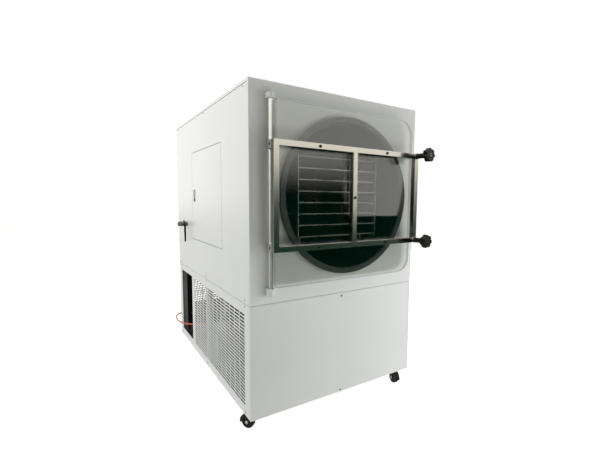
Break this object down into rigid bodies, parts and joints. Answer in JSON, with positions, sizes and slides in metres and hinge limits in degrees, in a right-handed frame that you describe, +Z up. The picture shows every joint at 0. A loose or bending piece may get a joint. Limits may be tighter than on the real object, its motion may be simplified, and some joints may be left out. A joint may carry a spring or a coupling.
{
  "type": "pilot freeze dryer",
  "caption": "Floor-standing freeze dryer: sheet-metal cabinet on castors, round chamber with a shelf rack behind a clear swing door, side service hatch and machine room below.",
  "frame": {"origin": "on the ground, under the middle of the outline without the hose", "axes": "+X to the right, +Y from the door to the rear, +Z up"},
  "size_m": [0.8166, 1.211, 1.232],
  "materials": {
    "white_enamel": "gloss",
    "galvanised_steel": "satin",
    "stainless_steel": "satin",
    "polished_steel": "polished",
    "clear_acrylic": "polished",
    "black_rubber": "matt",
    "castor_tread": "matt",
    "black_plastic": "moulded",
    "black_enamel": "satin",
    "zinc_plate": "satin",
    "nickel_plate": "dark polished",
    "copper_tube": "drawn",
    "fin_aluminium": "mill",
    "pump_enamel": "satin",
    "grey_enamel": "satin",
    "brass": "turned",
    "red_hose": "smooth"
  },
  "bodies": {
    "cabinet": {"top_cover": "white_enamel", "front_upper_panel": "white_enamel", "front_lower_panel": "white_enamel", "left_upper_panel": "white_enamel", "left_lower_panel": "white_enamel", "right_upper_panel": "white_enamel", "right_lower_panel": "white_enamel", "rear_upper_panel": "white_enamel", "rear_lower_panel": "white_enamel", "hinge_brackets": "white_enamel", "frame_posts": "white_enamel", "base_pan": "galvanised_steel", "deck": "galvanised_steel", "chamber_saddles": "galvanised_steel", "fan_shroud": "galvanised_steel", "hatch_pins": "galvanised_steel", "chamber": "stainless_steel", "rack_frame": "stainless_steel", "shelves": "stainless_steel", "chamber_pipes": "stainless_steel", "feed_fittings": "stainless_steel", "latch_bosses": "stainless_steel", "hinge_shaft": "polished_steel", "panel_screws": "polished_steel", "door_gasket": "black_rubber", "mains_inlet": "black_plastic", "compressor": "black_enamel", "caster_plates": "zinc_plate", "vent_valve": "nickel_plate", "cold_coil": "copper_tube", "condenser": "fin_aluminium", "vacuum_pump": "pump_enamel", "control_box": "grey_enamel", "hose_fittings": "brass", "red_hose": "red_hose"},
    "door": {"door_plate": "clear_acrylic", "door_frame": "polished_steel", "door_screws": "black_enamel", "hinge_blocks": "polished_steel"},
    "knob_top_travel": {"knob_washer_top": "polished_steel"},
    "knob_top_turn": {"knob_top": "black_plastic"},
    "knob_bottom_travel": {"knob_washer_bottom": "polished_steel"},
    "knob_bottom_turn": {"knob_bottom": "black_plastic"},
    "hatch": {"hatch_door": "white_enamel", "lock_case": "nickel_plate"},
    "lock_handle": {"lock_paddle": "nickel_plate"},
    "valve_lever": {"vent_lever": "black_plastic"},
    "fan": {"fan_blades": "black_plastic"},
    "castor_front_left": {"caster_fork_front_left": "black_enamel", "caster_axle_front_left": "zinc_plate"},
    "wheel_front_left": {"caster_wheel_front_left": "castor_tread"},
    "castor_front_right": {"caster_fork_front_right": "black_enamel", "caster_axle_front_right": "zinc_plate"},
    "wheel_front_right": {"caster_wheel_front_right": "castor_tread"},
    "castor_rear_left": {"caster_fork_rear_left": "black_enamel", "caster_axle_rear_left": "zinc_plate"},
    "wheel_rear_left": {"caster_wheel_rear_left": "castor_tread"},
    "castor_rear_right": {"caster_fork_rear_right": "black_enamel", "caster_axle_rear_right": "zinc_plate"},
    "wheel_rear_right": {"caster_wheel_rear_right": "castor_tread"}
  },
  "joints": [
    {"name": "door_hinge", "type": "hinge", "parent": "cabinet", "child": "door", "pos_m": [-0.2923, -0.4855, 0.856], "axis": [0, 0, -1], "range_deg": [0, 90]},
    {"name": "knob_bottom_slide", "type": "slide", "parent": "door", "child": "knob_bottom_travel", "axis": [0, -1, 0], "range_m": [0, 0.01376]},
    {"name": "knob_bottom_spin", "type": "hinge", "parent": "knob_bottom_travel", "child": "knob_bottom_turn", "pos_m": [0.3567, -0.5328, 0.677], "axis": [0, -1, 0], "range_deg": [0, 3960]},
    {"name": "knob_top_slide", "type": "slide", "parent": "door", "child": "knob_top_travel", "axis": [0, -1, 0], "range_m": [0, 0.01376]},
    {"name": "knob_top_spin", "type": "hinge", "parent": "knob_top_travel", "child": "knob_top_turn", "pos_m": [0.3567, -0.5328, 1.027], "axis": [0, -1, 0], "range_deg": [0, 3960]},
    {"name": "hatch_hinge", "type": "hinge", "parent": "cabinet", "child": "hatch", "pos_m": [-0.3588, -0.1855, 0.8535], "axis": [0, 0, 1], "range_deg": [0, 100]},
    {"name": "lock_flip", "type": "hinge", "parent": "hatch", "child": "lock_handle", "pos_m": [-0.3583, 0.2115, 0.8775], "axis": [0, 1, 0], "range_deg": [0, 60]},
    {"name": "valve_turn", "type": "hinge", "parent": "cabinet", "child": "valve_lever", "pos_m": [-0.3783, 0.3567, 0.712], "axis": [0, 1, 0], "range_deg": [0, 90]},
    {"name": "fan_spin", "type": "hinge", "parent": "cabinet", "child": "fan", "pos_m": [0.2397, 0.1395, 0.258], "axis": [1, 0, 0], "continuous": true},
    {"name": "castor_front_left_swivel", "type": "hinge", "parent": "cabinet", "child": "castor_front_left", "pos_m": [-0.3243, -0.4075, 0.064], "axis": [0, 0, 1], "continuous": true},
    {"name": "castor_front_left_roll", "type": "hinge", "parent": "castor_front_left", "child": "wheel_front_left", "pos_m": [-0.33807, -0.38784, 0.025], "axis": [-0.8192, -0.5736, 0], "continuous": true},
    {"name": "castor_front_right_swivel", "type": "hinge", "parent": "cabinet", "child": "castor_front_right", "pos_m": [0.3677, -0.4075, 0.064], "axis": [0, 0, 1], "continuous": true},
    {"name": "castor_front_right_roll", "type": "hinge", "parent": "castor_front_right", "child": "wheel_front_right", "pos_m": [0.36271, -0.43098, 0.025], "axis": [0.9781, -0.2079, 0], "continuous": true},
    {"name": "castor_rear_left_swivel", "type": "hinge", "parent": "cabinet", "child": "castor_rear_left", "pos_m": [-0.3243, 0.5005, 0.064], "axis": [0, 0, 1], "continuous": true},
    {"name": "castor_rear_left_roll", "type": "hinge", "parent": "castor_rear_left", "child": "wheel_rear_left", "pos_m": [-0.30082, 0.49551, 0.025], "axis": [0.2079, 0.9781, 0], "continuous": true},
    {"name": "castor_rear_right_swivel", "type": "hinge", "parent": "cabinet", "child": "castor_rear_right", "pos_m": [0.3677, 0.5005, 0.064], "axis": [0, 0, 1], "continuous": true},
    {"name": "castor_rear_right_roll", "type": "hinge", "parent": "castor_rear_right", "child": "wheel_rear_right", "pos_m": [0.35949, 0.47795, 0.025], "axis": [0.9397, -0.342, 0], "continuous": true}
  ],
  "couplings": [
    {"joint": "knob_bottom_slide", "follows": "knob_bottom_spin", "m_per_rad": 0.00019894},
    {"joint": "knob_top_slide", "follows": "knob_top_spin", "m_per_rad": 0.00019894}
  ]
}
